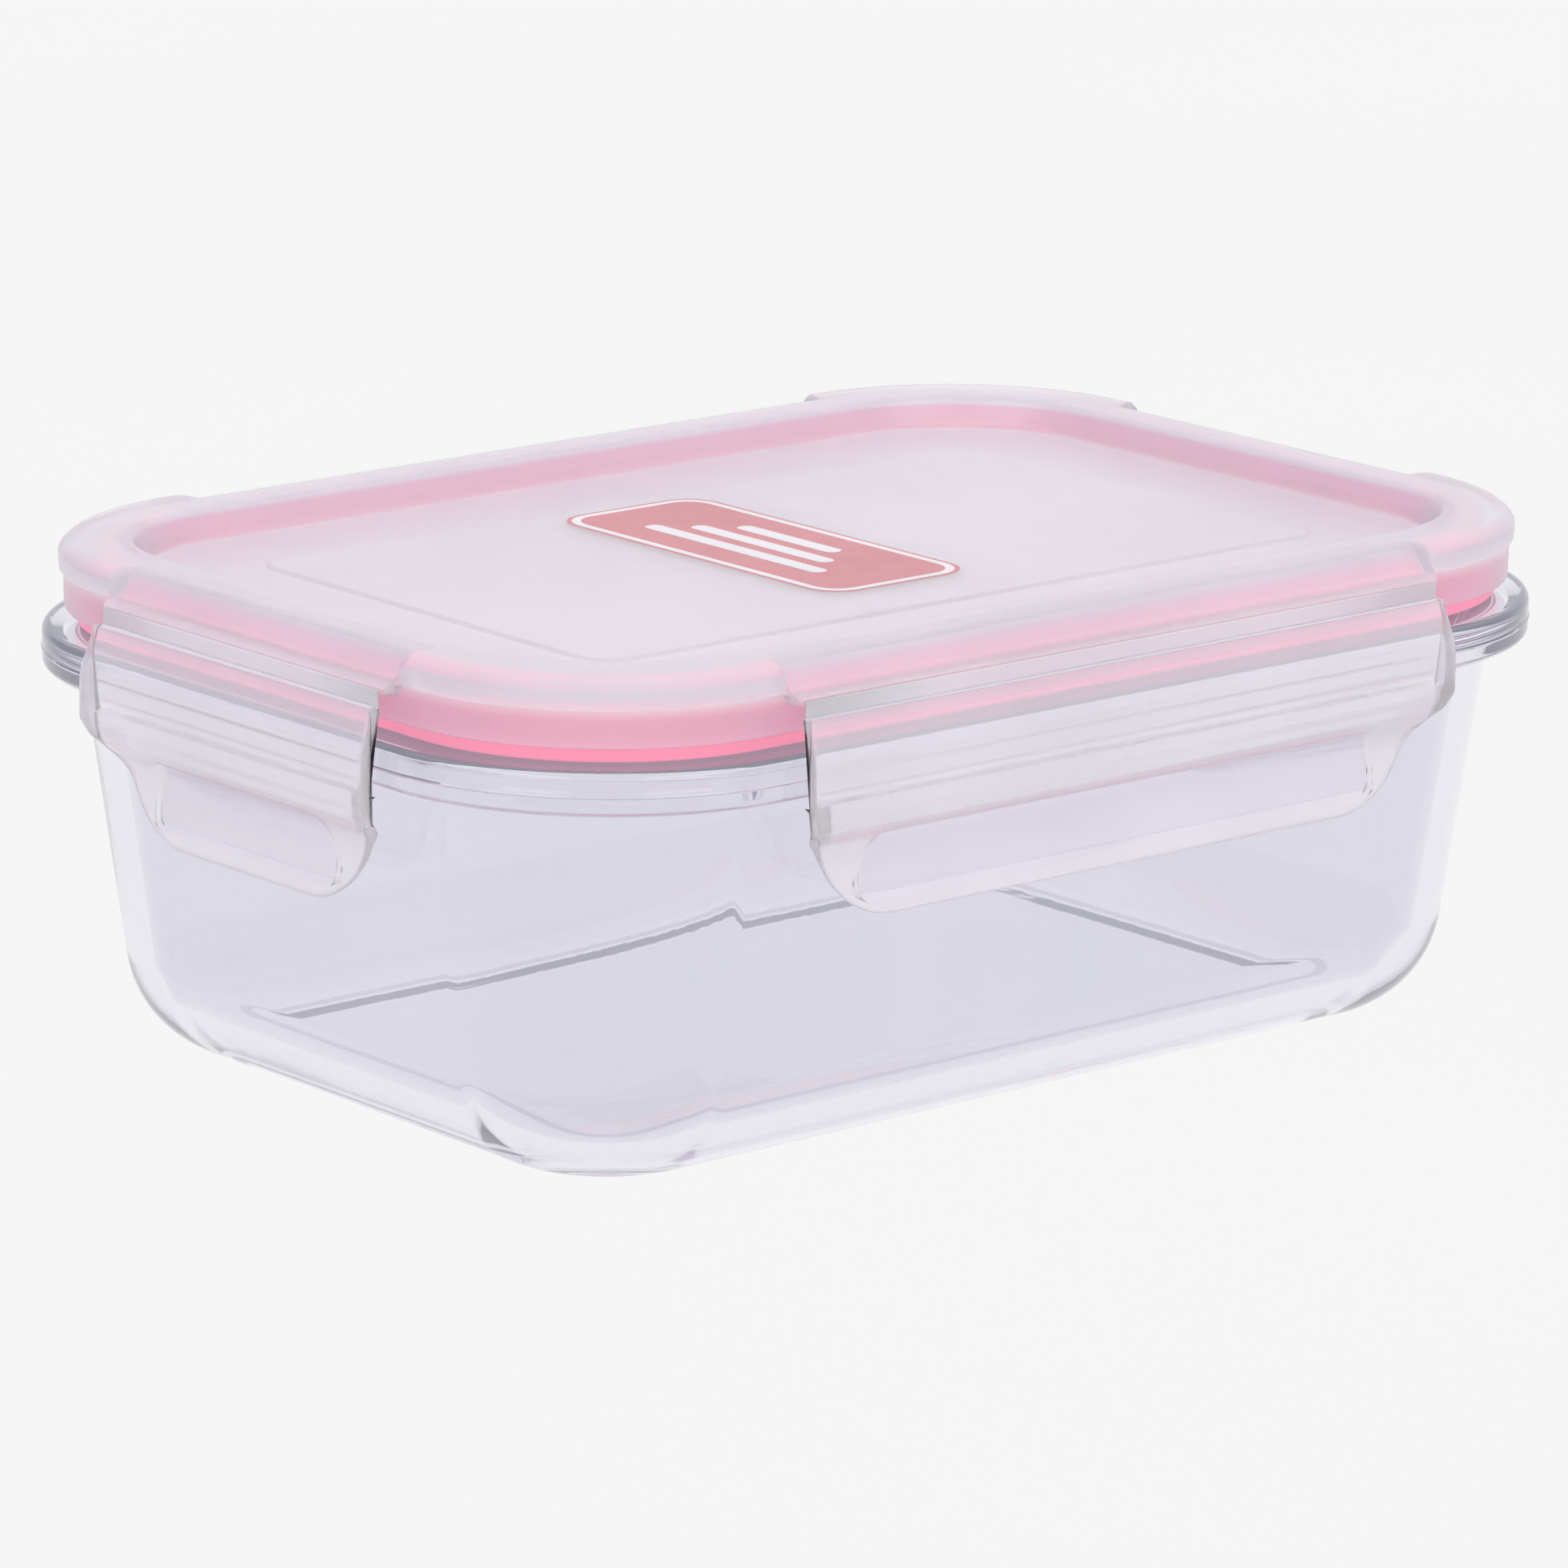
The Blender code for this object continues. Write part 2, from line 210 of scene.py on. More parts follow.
def carry_on(bm, chain, closed, places):
    """Extrude a chain of vertices one step and set the new chain down on its places."""
    edges = [bm.edges.get(pair) for pair in links(chain, closed)]
    made = bmesh.ops.extrude_edge_only(bm, edges=edges)["geom"]
    fresh = {item for item in made if isinstance(item, bmesh.types.BMVert)}
    moved = []
    for vert, place in zip(chain, places):
        twin = next(other for other in (edge.other_vert(vert) for edge in vert.link_edges)
                    if other in fresh)
        twin.co = place
        moved.append(twin)
    return moved


class Rim:
    """The rounded rectangle that every rim piece follows, one quarter of it."""

    def __init__(self, bowl):
        self.radius = bowl.corner_radius
        self.x = bowl.half_length - bowl.corner_radius
        self.y = bowl.half_width - bowl.corner_radius

    def places(self, station, section):
        x, y, turn = station
        out = Vector((math.sin(turn), math.cos(turn), 0.0))
        base = Vector((x, y, 0.0))
        return [base + out * (self.radius - inset * MM) + Vector((0, 0, height * MM))
                for inset, height in section]

    def quarter(self, long_stops=(), short_stops=()):
        """Stations from the middle of the +Y side, round the corner, to that of the +X side."""
        stations = [(x, self.y, 0.0) for x in (0.0, *long_stops)]
        stations += [(self.x, self.y, math.pi / 2 * step / CORNER_STEPS)
                     for step in range(CORNER_STEPS + 1)]
        stations += [(self.x, y, math.pi / 2) for y in (*short_stops, 0.0)]
        return stations


def sweep(bm, rim, stations, sections, closed):
    """Sweep one section a station round a quarter of the rim, then mirror it to the whole."""
    chain = begin_chain(bm, rim.places(stations[0], sections[0]), closed)
    for station, section in zip(stations[1:], sections[1:]):
        chain = carry_on(bm, chain, closed, rim.places(station, section))
    for axis in "XY":
        bmesh.ops.mirror(bm, geom=bm.verts[:] + bm.edges[:] + bm.faces[:], axis=axis,
                         merge_dist=1e-6)
        bmesh.ops.remove_doubles(bm, verts=bm.verts[:], dist=1e-6)


def mixed(first, second, share):
    return [(a[0] + (b[0] - a[0]) * share, a[1] + (b[1] - a[1]) * share)
            for a, b in zip(first, second)]


def eased(share):
    share = min(max(share, 0.0), 1.0)
    return share * share * (3 - 2 * share)


def completed(bm, name, materials, weighted=True):
    """Close the mesh, point its faces outwards and give it its finishes."""
    open_edges = [edge for edge in bm.edges if edge.is_boundary]
    if open_edges:
        bmesh.ops.edgeloop_fill(bm, edges=open_edges)
    bmesh.ops.remove_doubles(bm, verts=bm.verts[:], dist=1e-7)
    bmesh.ops.recalc_face_normals(bm, faces=bm.faces[:])
    mesh = bpy.data.meshes.new(name)
    bm.to_mesh(mesh)
    bm.free()
    for finish in materials:
        mesh.materials.append(finish)
    mesh.shade_smooth()
    piece = bpy.data.objects.new(name, mesh)
    bpy.context.scene.collection.objects.link(piece)
    if weighted:
        normals = piece.modifiers.new("face weighted normals", "WEIGHTED_NORMAL")
        normals.mode = "FACE_AREA"
        normals.weight = 60
        normals.keep_sharp = True
    return piece


# ---------------------------------------------------------------- finishes

def shader_tree(name):
    finish = bpy.data.materials.get(name) or bpy.data.materials.new(name)
    finish.use_nodes = True
    finish.node_tree.nodes.clear()
    return finish, finish.node_tree


def add_node(tree, kind, values=None, **links_in):
    """Add a node, set its socket values and link its sockets from others."""
    node = tree.nodes.new(kind)
    for socket, value in (values or {}).items():
        node.inputs[socket].default_value = value
    for socket, source in links_in.items():
        tree.links.new(source, node.inputs[socket.replace("_", " ")])
    return node


def noise(tree, scale, detail=2.0, roughness=0.5, stretch=(1.0, 1.0, 1.0)):
    """A noise pattern fixed to the piece, in metres."""
    where = tree.nodes.new("ShaderNodeTexCoord").outputs["Object"]
    mapping = add_node(tree, "ShaderNodeMapping", {"Scale": stretch}, Vector=where)
    return add_node(tree, "ShaderNodeTexNoise",
                    {"Scale": scale, "Detail": detail, "Roughness": roughness},
                    Vector=mapping.outputs["Vector"]).outputs["Fac"]


def ramp(tree, source, stops):
    node = add_node(tree, "ShaderNodeValToRGB", Fac=source)
    node.color_ramp.elements[0].position = stops[0][0]
    node.color_ramp.elements[0].color = (*stops[0][1], 1.0)
    node.color_ramp.elements[1].position = stops[1][0]
    node.color_ramp.elements[1].color = (*stops[1][1], 1.0)
    for position, colour in stops[2:]:
        node.color_ramp.elements.new(position).color = (*colour, 1.0)
    return node.outputs["Color"]


def bump(tree, height, depth, strength, under=None):
    node = add_node(tree, "ShaderNodeBump", {"Distance": depth, "Strength": strength},
                    Height=height)
    if under is not None:
        tree.links.new(under, node.inputs["Normal"])
    return node.outputs["Normal"]


def ranged(tree, source, low, high):
    node = add_node(tree, "ShaderNodeMapRange", {"To Min": low, "To Max": high}, Value=source)
    return node.outputs["Result"]


def height_ramp(tree, low, high, stops):
    """Colours by the height on the piece, between two heights in metres."""
    where = tree.nodes.new("ShaderNodeTexCoord").outputs["Object"]
    height = add_node(tree, "ShaderNodeSeparateXYZ", Vector=where).outputs["Z"]
    rise = add_node(tree, "ShaderNodeMapRange", {"From Min": low, "From Max": high},
                    Value=height)
    return ramp(tree, rise.outputs["Result"], stops)


def multiplied(tree, first, second):
    mixer = tree.nodes.new("ShaderNodeMixRGB")
    mixer.blend_type = "MULTIPLY"
    mixer.inputs[0].default_value = 1.0
    tree.links.new(first, mixer.inputs[1])
    tree.links.new(second, mixer.inputs[2])
    return mixer.outputs[0]


def tinted(colour, share):
    """A slightly darker neighbour of a colour."""
    return tuple(channel * share for channel in colour)


def finish_output(tree, shader, see_through=None, depth=None):
    """Link the shader to the output; see_through lets lamps shine through the piece.

    depth is the volume inside a clear piece.
    """
    surface = shader.outputs["BSDF"]
    if see_through:
        path = tree.nodes.new("ShaderNodeLightPath")
        clear = add_node(tree, "ShaderNodeBsdfTransparent", {"Color": (*see_through, 1.0)})
        mix = tree.nodes.new("ShaderNodeMixShader")
        tree.links.new(path.outputs["Is Shadow Ray"], mix.inputs[0])
        tree.links.new(surface, mix.inputs[1])
        tree.links.new(clear.outputs["BSDF"], mix.inputs[2])
        surface = mix.outputs["Shader"]
    output = tree.nodes.new("ShaderNodeOutputMaterial")
    tree.links.new(surface, output.inputs["Surface"])
    if depth:
        tree.links.new(depth.outputs["Volume"], output.inputs["Volume"])


def pressed_glass(bowl):
    """Clear pressed glass with a faint lavender tint, a slow ripple and fine mould marks.

    The small emission is a painted glow that stands in for light that stays inside the glass for
    many bounces.
    """
    finish, tree = shader_tree("pressed_glass")
    tint = ramp(tree, noise(tree, 24.0), ((0.3, tinted(bowl.colour, 0.985)),
                                          (0.7, tuple(bowl.colour))))
    slow = bump(tree, noise(tree, 34.0, 1.0, 0.4, (1.0, 1.0, 0.45)), bowl.ripple * 10, 0.10)
    fine = bump(tree, noise(tree, 420.0, 2.0), bowl.ripple, 0.05, slow)
    # The emission here is a painted glow, standing in for light trapped in the glass.
    shader = add_node(tree, "ShaderNodeBsdfPrincipled",
                      {"Roughness": 0.0, "IOR": 1.5, "Transmission Weight": 1.0,
                       "Emission Color": (0.86, 0.86, 1.0, 1.0),
                       "Emission Strength": bowl.painted_glass_glow},
                      Normal=fine, Base_Color=tint)
    depth = add_node(tree, "ShaderNodeVolumeAbsorption",
                     {"Color": (*bowl.depth_colour, 1.0), "Density": 12.0})
    finish_output(tree, shader, (0.98, 0.98, 0.99), depth)
    return finish


# Painted tints on the lid, from its skirt's foot to its crown, that stand in for the pink gasket
# seen through the plastic where the gasket colours it most: pink on the skirt, a faint darker
# lavender on the border.
SKIRT_PINK, BORDER_PINK, NO_TINT = (0.99, 0.815, 0.895), (0.92, 0.915, 0.94), (1.0, 1.0, 1.0)
PAINTED_TINT_STOPS = ((0.40, SKIRT_PINK), (0.50, NO_TINT), (0.58, NO_TINT), (0.66, BORDER_PINK),
               (0.85, BORDER_PINK), (0.97, NO_TINT))


def polypropylene(name, shade, clarity, haze, grain, ior=1.40, painted_tint_heights=None):
    """Milky moulded plastic: cloudy colour, flow marks and a fine satin grain.

    The last argument holds the two heights between which the lid takes its painted tints, which
    stand in for the gasket seen through the plastic.
    """
    finish, tree = shader_tree(name)
    cloud = noise(tree, 38.0, 3.0, 0.55)
    colour = ramp(tree, cloud, ((0.3, tinted(shade, 0.96)), (0.7, tuple(shade))))
    if painted_tint_heights:
        # Painted tints by height, standing in for the gasket seen through the plastic.
        colour = multiplied(tree, colour, height_ramp(tree, *painted_tint_heights, PAINTED_TINT_STOPS))
    rough = ranged(tree, noise(tree, 110.0, 3.0), haze * 0.95, haze * 1.1)
    flow = bump(tree, noise(tree, 40.0, 0.0, 0.4, (1.0, 0.35, 1.0)), 0.0002, 0.02)
    satin = bump(tree, noise(tree, 700.0, 0.0), 0.00001, grain * 0.2, flow)
    shader = add_node(tree, "ShaderNodeBsdfPrincipled",
                      {"IOR": ior, "Transmission Weight": clarity,
                       "Specular IOR Level": 0.5},
                      Normal=satin, Base_Color=colour, Roughness=rough)
    finish_output(tree, shader, tinted(shade, 0.99))
    return finish


def silicone(gasket):
    """Soft pink silicone: a satin skin and a painted glow over the whole ring, strongest at its
    foot, where it lifts the shade under the lid's skirt.
    """
    finish, tree = shader_tree("pink_silicone")
    colour = ramp(tree, noise(tree, 60.0, 3.0), ((0.3, tinted(gasket.colour, 0.93)),
                                                 (0.7, tuple(gasket.colour))))
    rough = ranged(tree, noise(tree, 300.0), 0.38, 0.52)
    skin = bump(tree, noise(tree, 1500.0, 2.0), 0.00005, 0.25)
    # Painted glow by height: bright pink at the foot, dimmer higher up, lifting the shade under
    # the skirt.
    painted_glow_colours = height_ramp(tree, gasket.foot, gasket.foot + 4 * MM,
                       ((0.35, (0.33, 0.17, 0.215)), (0.9, (0.17, 0.055, 0.085))))
    shader = add_node(tree, "ShaderNodeBsdfPrincipled",
                      {"IOR": 1.42, "Subsurface Weight": 0.35, "Subsurface Scale": 0.004,
                       "Subsurface Radius": (1.0, 0.5, 0.5),
                       "Emission Strength": gasket.painted_foot_glow},
                      Normal=skin, Base_Color=colour, Roughness=rough, Emission_Color=painted_glow_colours)
    finish_output(tree, shader)
    return finish


def label_ink(name, colour):
    """Screen printed ink: a slow fade of colour, tiny pinholes and a soft gloss."""
    finish, tree = shader_tree(name)
    faded = tuple(min(channel * 1.25, 1.0) for channel in colour)
    fade = ramp(tree, noise(tree, 22.0, 2.0), ((0.25, tuple(colour)), (0.75, faded)))
    rough = ranged(tree, noise(tree, 240.0), 0.32, 0.46)
    skin = bump(tree, noise(tree, 1900.0, 2.0), 0.00003, 0.3)
    shader = add_node(tree, "ShaderNodeBsdfPrincipled", {"IOR": 1.45},
                      Normal=skin, Base_Color=fade, Roughness=rough)
    finish_output(tree, shader)
    return finish


def studio_floor(studio):
    finish, tree = shader_tree("studio_floor")
    colour = ramp(tree, noise(tree, 3.0, 2.0), ((0.3, tinted(studio.floor_colour, 0.995)),
                                                (0.7, tuple(studio.floor_colour))))
    shader = add_node(tree, "ShaderNodeBsdfPrincipled",
                      {"Roughness": 1.0, "Specular IOR Level": 0.0,
                       "Emission Color": (1.0, 1.0, 1.0, 1.0), "Emission Strength": 0.25},
                      Base_Color=colour)
    finish_output(tree, shader)
    return finish


# ---------------------------------------------------------------- the bowl

def heel_points(bowl, skin, rise):
    """The curve between floor and wall, one skin in and one rise up, from floor to wall."""
    neck = bowl.rim_top / MM - BEAD_DEPTH
    radius = HEEL_RADIUS - skin
    slope = math.tan(bowl.draft)
    centre_height = rise + radius
    inset = (BEAD_STANDS + (neck - centre_height) * slope
             + (skin + radius) / math.cos(bowl.draft))
    points = []
    for step in range(HEEL_STEPS + 1):
        angle = -math.pi / 2 + (math.pi / 2 - bowl.draft) * step / HEEL_STEPS
        points.append((inset - radius * math.cos(angle), centre_height + radius * math.sin(angle)))
    return points


def bowl_section(bowl):
    """From under the foot, round the heel and the bead, down inside to the floor."""
    top = bowl.rim_top / MM
    wall, floor = bowl.wall / MM, bowl.floor / MM
    slope = math.tan(bowl.draft)
    outer = heel_points(bowl, 0.0, 0.0)
    inner = heel_points(bowl, wall, floor)
    foot = outer[0][0]
    neck = top - BEAD_DEPTH
    inside = BEAD_STANDS + (neck - top) * slope + wall / math.cos(bowl.draft)
    recess = 0.6
    under = rounded([(34.0, recess), (foot + 5.6, recess, 9.0), (foot + 2.6, 0.0, 9.0),
                     (foot + 0.5, 0.0)], steps=6)
    ridge = 0.14
    bead = rounded([
        (BEAD_STANDS + 3.0 * slope, neck - 3.0), (5.3, neck + 0.1, 1.1), (3.0, neck, 0.7),
        (ridge, neck + 0.7, 2.2), (ridge, top - 3.32, 0.25), (0.0, top - 3.1, 0.08),
        (ridge, top - 2.88, 0.25), (0.1, top, 2.7), (inside, top, 1.2),
        (inside + 3.0 * slope, top - 3.0)], steps=7)
    return under[:-1] + outer + bead + inner[::-1] + [(29.0, floor), (FLAT_FLOOR, floor)]


def make_bowl(bowl):
    rim = Rim(bowl)
    bm = bmesh.new()
    stations = rim.quarter((20 * MM, 40 * MM), (16 * MM,))
    sweep(bm, rim, stations, [bowl_section(bowl)] * len(stations), False)
    piece = completed(bm, "bowl_glass", [pressed_glass(bowl)])
    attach(piece, "bowl")
    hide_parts("glass_bowl")


# ---------------------------------------------------------------- the lid and its gasket

def lid_sections():
    """The lid's section behind a flap, and round a corner, point for point alike."""
    # Under the lid, from the middle, round the gasket's channel, to the foot of the skirt.
    under = [(31.2, PANEL_UNDER), (30.5, PANEL_UNDER, 0.3), (29.8, 63.9, 0.3),
             (12.3, 63.9, 0.4), (12.05, 60.95, 0.35), (10.75, 60.95, 0.35),
             (10.6, CHANNEL_ROOF, 0.7), (6.9, CHANNEL_ROOF, 0.9), (4.45, 65.6, 0.7),
             (4.5, SKIRT_FOOT, 0.4), (3.1, SKIRT_FOOT, 0.4)]
    # Up the outside: the hinge's ledge behind a flap, the thick band round a corner.
    ledge = [(3.0, 64.3, 0.2), (0.65, 64.55, 0.2), (0.65, 65.4, 0.25), (3.3, 65.45, 0.9),
             (6.6, 69.45, 1.9)]
    band = [(3.05, 65.6, 0.15), (2.45, 65.95, 0.25), (2.4, 66.9, 0.6), (2.4, 68.3, 1.2),
            (3.9, CROWN, 2.6)]
    # Over the lid, from the crown of the border, down into the sunken middle.
    over = [(8.9, CROWN, 1.6), (12.1, CROWN, 1.3), (14.3, 65.4, 1.2), (29.6, 65.4, 0.3),
            (30.2, PANEL_OVER, 0.3), (31.0, PANEL_OVER)]
    return rounded(under + ledge + over), rounded(under + band + over)


def make_lid(bowl, lid, flaps):
    rim = Rim(bowl)
    behind_flap, round_corner = lid_sections()
    morph = (0.0, 0.3, 0.6, 1.0)
    long_end = flaps.long_half - LEDGE_CLEARANCE * MM
    short_end = flaps.short_half - LEDGE_CLEARANCE * MM
    width = 1.0 * MM       # the stretch in which the ledge turns into the corner's band
    long_stops = (25 * MM, *(long_end + width * share for share in morph))
    short_stops = (*(short_end + width * share for share in reversed(morph)), 15 * MM)
    stations = rim.quarter(long_stops, short_stops)
    sections = []
    for x, y, turn in stations:
        if turn == 0.0:
            share = eased((x - long_end) / width)
        elif y < rim.y:
            share = eased((y - short_end) / width)
        else:
            share = 1.0
        sections.append(mixed(behind_flap, round_corner, share))
    bm = bmesh.new()
    sweep(bm, rim, stations, sections, False)
    # The lid takes painted tints up its height, standing in for the gasket seen through it.
    plastic = polypropylene("lid_polypropylene", lid.colour, lid.clarity, lid.haze, 0.18,
                            painted_tint_heights=(SKIRT_FOOT * MM, lid.top))
    piece = completed(bm, "lid_moulding", [plastic])
    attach(piece, "lid")
    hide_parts("lid_panel")


def gasket_section(gasket):
    """A square ring of silicone with two sealing ribs underneath and a groove up each side."""
    rib = gasket.rib / MM
    return rounded([
        (4.8, 58.8, 0.3), (4.85, 62.0, 0.3), (5.05, 62.3, 0.2), (4.85, 62.6, 0.3),
        (4.8, 64.8, 0.5), (6.1, 66.4, 0.6), (9.9, 66.4, 0.6), (10.4, 65.8, 0.3),
        (10.4, 62.8, 0.2), (10.15, 62.4, 0.2), (10.4, 62.0, 0.2), (10.4, 59.0, 0.4),
        (9.6, SEAL, 0.2), (8.9, SEAL + rib, 0.2), (8.3, SEAL, 0.2), (7.0, SEAL, 0.2),
        (6.4, SEAL + rib, 0.2), (5.7, SEAL, 0.2)], closed=True, steps=3)


def make_gasket(bowl, gasket):
    rim = Rim(bowl)
    bm = bmesh.new()
    stations = rim.quarter((30 * MM,), ())
    sweep(bm, rim, stations, [gasket_section(gasket)] * len(stations), True)
    piece = completed(bm, "gasket_ring", [silicone(gasket)])
    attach(piece, "lid")
    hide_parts("gasket")


# ---------------------------------------------------------------- the flaps and their hinges

HOOK_Z = 48.1          # below this height a flap is only its pull tab
TAB_RADIUS = 12.5      # rise of the tab's lower corner
TAB_SHOULDER = 4.3     # how much shorter the tab is than the flap, at each end
TAB_NARROWS = 16.8     # the last stretch of a flap, where the tab's lower corner is
TAB_BOTTOM = 35.6
END_ROUNDING = 0.45
WINDOW_END = 12.9      # from a flap's end to the end of its tab's sunken window
TAB_ROWS = 13
LIP = 0.7              # depth of the rounding along a flap's lower edge
LIP_STEPS = 6
FILM_LOW, FILM_HIGH = 63.15, 65.2
FOLD = 64.3            # height of the hinge film's thinnest line
FILM_ROWS = 14


def side_edge(bowl, is_long):
    return bowl.half_width if is_long else bowl.half_length


def on_side(bm, turn, edge):
    """Take a piece made with its rim edge at Y = 0 to its side of the container."""
    matrix = Matrix.Rotation(math.radians(turn), 4, "Z") @ Matrix.Translation((0, edge, 0))
    bmesh.ops.transform(bm, matrix=matrix, verts=bm.verts[:])


def between(path, height):
    """Inset of a path of (inset, height) points at a height."""
    for (inset_a, a), (inset_b, b) in zip(path, path[1:]):
        if min(a, b) <= height <= max(a, b) and a != b:
            return inset_a + (inset_b - inset_a) * (height - a) / (b - a)
    return path[0][0] if abs(height - path[0][1]) < abs(height - path[-1][1]) else path[-1][0]


OUTER_HOOK = rounded([(0.1, 63.2, 0.35), (-1.35, 63.2, 0.45), (-1.7, 61.6, 1.6),
                      (-2.95, 58.0, 2.0), (-3.2, 56.0, 1.2), (-3.2, 51.0, 1.8),
                      (-2.3, 48.7, 1.4), (-1.6, HOOK_Z)], steps=4)
INNER_HOOK = rounded([(2.75, HOOK_Z), (2.2, 49.5, 0.8), (1.9, 51.6, 0.45), (1.2, 52.05, 0.3),
                      (-0.3, 51.9, 0.6), (-1.2, 52.9, 0.8), (-1.2, 57.3, 1.2), (0.1, 61.0, 0.8),
                      (0.6, 62.0, 0.3), (0.6, 63.2, 0.3), (0.1, 63.2)], steps=4)
OUTER_TAB = rounded([(-1.6, HOOK_Z), (0.4, 46.2, 2.2), (1.3, 44.3, 1.8), (1.45, 42.0, 3.0),
                     (0.75, TAB_BOTTOM)], steps=4)
INNER_TAB = rounded([(2.15, TAB_BOTTOM), (2.8, 43.0, 3.0), (2.8, 46.6, 1.0),
                     (2.75, HOOK_Z)], steps=4)
OUTER_FALLING = OUTER_HOOK[8:]     # below the hinge, where the outer path only falls
RIB_TOP = 54.0         # the snap rib lies below this height
EVEN_WALL = 1.9        # wall at a flap's ends, where the snap rib has faded out


def end_share(stop, half):
    """How far a station lies into the stretch where a flap narrows to its tab, 0 to 1."""
    return min(max((stop - half + TAB_NARROWS) / TAB_NARROWS, 0.0), 1.0)


def tab_low(stop, half):
    """Height of a flap's lower edge at a station, in millimetres."""
    share = end_share(stop, half)
    low = TAB_BOTTOM + TAB_RADIUS * (1 - math.sqrt(max(1 - share ** 2, 0.0)))
    return min(low, HOOK_Z - 1.0)


def flap_station(low, slim):
    """One closed section of a flap whose lower edge is at that height.

    slim goes to 1 at a flap's ends, where the snap rib fades out and one even wall is left.
    """
    outer, inner = [], []
    span = HOOK_Z - low - LIP
    rows = [HOOK_Z - span * row / TAB_ROWS for row in range(1, TAB_ROWS + 1)]
    for height in rows:
        outer.append((between(OUTER_TAB, height), height))
        inner.append((between(INNER_TAB, height), height))
    hook = list(INNER_HOOK[:-1])
    if slim > 0:
        for run in (inner, hook):
            for index, (inset, height) in enumerate(run):
                if height < RIB_TOP:
                    path = OUTER_TAB if height < HOOK_Z else OUTER_FALLING
                    even = min(inset, between(path, height) + EVEN_WALL)
                    run[index] = (inset + (even - inset) * slim, height)
    middle = (outer[-1][0] + inner[-1][0]) / 2
    radius = (inner[-1][0] - outer[-1][0]) / 2
    drop = min(LIP, radius)
    curl = []
    for step in range(1, LIP_STEPS):
        angle = math.pi * step / LIP_STEPS
        curl.append((middle - radius * math.cos(angle), low + LIP - drop * math.sin(angle)))
    return OUTER_HOOK + outer + curl + inner[::-1] + hook


def shrunk(section, amount):
    """A closed section moved in by an amount, for the rounding of a flap's ends."""
    result = []
    count = len(section)
    for index, point in enumerate(section):
        along = Vector(section[(index + 1) % count]) - Vector(section[index - 1])
        inward = Vector((along.y, -along.x))
        if inward.length > 0:
            inward.normalize()
        result.append((point[0] - inward.x * amount, point[1] - inward.y * amount))
    return result


def window_lean(height):
    """How much wider a tab's window is at a height than at its top, each side."""
    share = min(max((HOOK_Z - height) / 7.5, 0.0), 1.0)
    return 3.2 * math.sin(share * math.pi / 2)


def flap_stops(half, window):
    """Distances from a flap's middle to its stations, closer round the tab's lower corner."""
    start = half - TAB_NARROWS
    stops = [0.0, start * 0.4, start * 0.8]
    curve_steps = 20
    for step in range(curve_steps + 1):
        stops.append(start + TAB_NARROWS * math.sin(math.pi / 2 * step / curve_steps))
    stops += [half - 0.4, half - 0.05]
    stops = [stop for stop in stops if abs(stop - window) > 0.35] + [window]
    return sorted(stops)


def flap_place(stop, inset, height, half, low, window):
    """Where a section point of a station goes, with the ends drawn in and the window flared."""
    x = stop
    x -= TAB_SHOULDER * end_share(stop, half) * eased((51.5 - height) / 8.0)
    x -= 0.7 * max((stop - half + 4.0) / 4.0, 0.0) * min(max((height - 57.0) / 6.2, 0.0), 1.0)
    near = 1.0 - min(abs(stop - window) / 4.2, 1.0)
    near *= min(max((height - low - LIP) / 1.7, 0.0), 1.0)
    x += window_lean(height) * near
    return Vector((x, -inset, height)) * MM


def make_flap(bowl, flaps, side, turn, is_long, plastic, clear):
    """A flap with its hook, snap rib and pull tab, swept from its middle to one end."""
    half = (flaps.long_half if is_long else flaps.short_half) / MM
    window = half - WINDOW_END
    bm = bmesh.new()
    chain = None
    window_verts = set()
    for stop in flap_stops(half, window):
        low = tab_low(stop, half)
        section = flap_station(low, eased((stop - half + 5.5) / 5.0))
        into_end = max((stop - half + END_ROUNDING) / END_ROUNDING, 0.0)
        if into_end > 0:
            section = shrunk(section, END_ROUNDING * (1 - math.sqrt(1 - into_end ** 2)))
        places = [flap_place(stop, inset, height, half, low, window)
                  for inset, height in section]
        chain = begin_chain(bm, places, True) if chain is None else carry_on(
            bm, chain, True, places)
        if stop <= window:
            first = len(OUTER_HOOK)
            window_verts.update(chain[first:first + TAB_ROWS - 2])
    bmesh.ops.edgeloop_fill(bm, edges=[bm.edges.get(pair) for pair in links(chain, True)])
    window_verts = {vert for vert in window_verts if vert.is_valid}
    faces = [face for face in bm.faces if all(vert in window_verts for vert in face.verts)]
    for face in faces:
        face.material_index = 1
    bmesh.ops.mirror(bm, geom=bm.verts[:] + bm.edges[:] + bm.faces[:], axis="X",
                     merge_dist=1e-6)
    bmesh.ops.remove_doubles(bm, verts=bm.verts[:], dist=1e-6)
    bmesh.ops.recalc_face_normals(bm, faces=bm.faces[:])
    sunk = [face for face in bm.faces if face.material_index == 1]
    made = bmesh.ops.inset_region(bm, faces=sunk, thickness=0.5 * MM,
                                  depth=-flaps.window_depth, use_even_offset=True)["faces"]
    for face in made:
        face.material_index = 0
    on_side(bm, turn, side_edge(bowl, is_long))
    piece = completed(bm, f"{side}_clip_flap", [plastic, clear])
    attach(piece, f"{side}_flap")
    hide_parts(f"flap_{side}")


